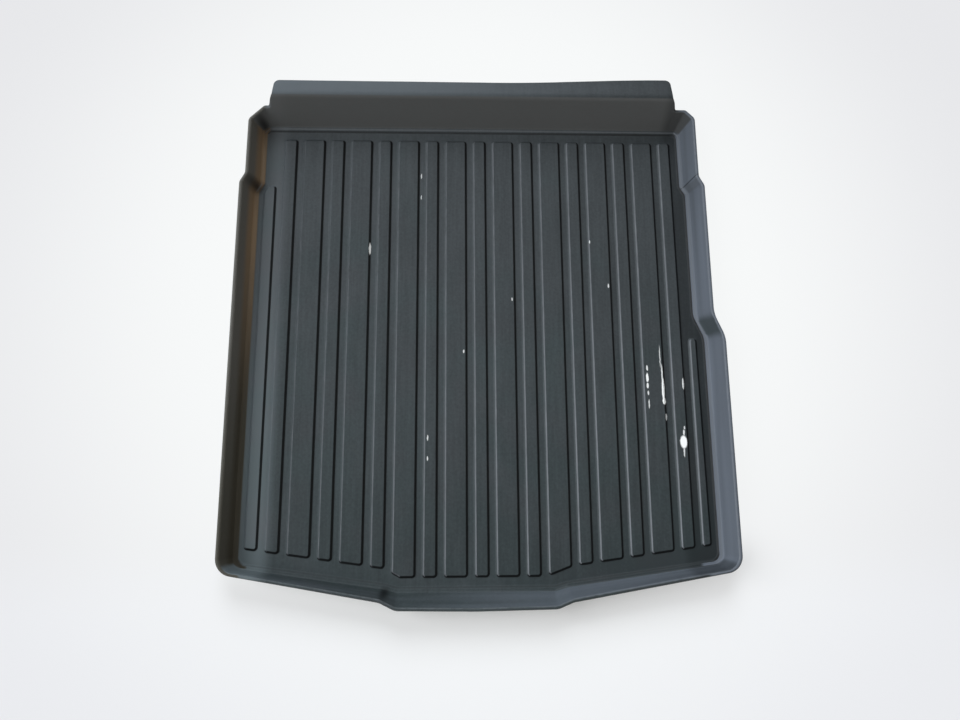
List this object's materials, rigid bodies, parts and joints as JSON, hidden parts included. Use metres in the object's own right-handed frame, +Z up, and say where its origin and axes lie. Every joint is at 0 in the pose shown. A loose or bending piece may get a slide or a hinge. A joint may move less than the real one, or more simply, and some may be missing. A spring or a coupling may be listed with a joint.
{
  "type": "boot liner",
  "caption": "Moulded boot liner for a car: a shallow tray with raised bars, sloping walls all round and a flap at the seat end.",
  "frame": {"origin": "middle of the footprint, on the plane that the underside of the floor rests on", "axes": "+Z up out of the tray, +Y towards the seat end and its flap, +X towards the side with the bulge"},
  "size_m": [1, 1.088, 0.0806],
  "materials": {
    "charcoal_rubber": "satin, lightly grained"
  },
  "bodies": {
    "root": {"boot_liner": "charcoal_rubber"}
  },
  "joints": []
}
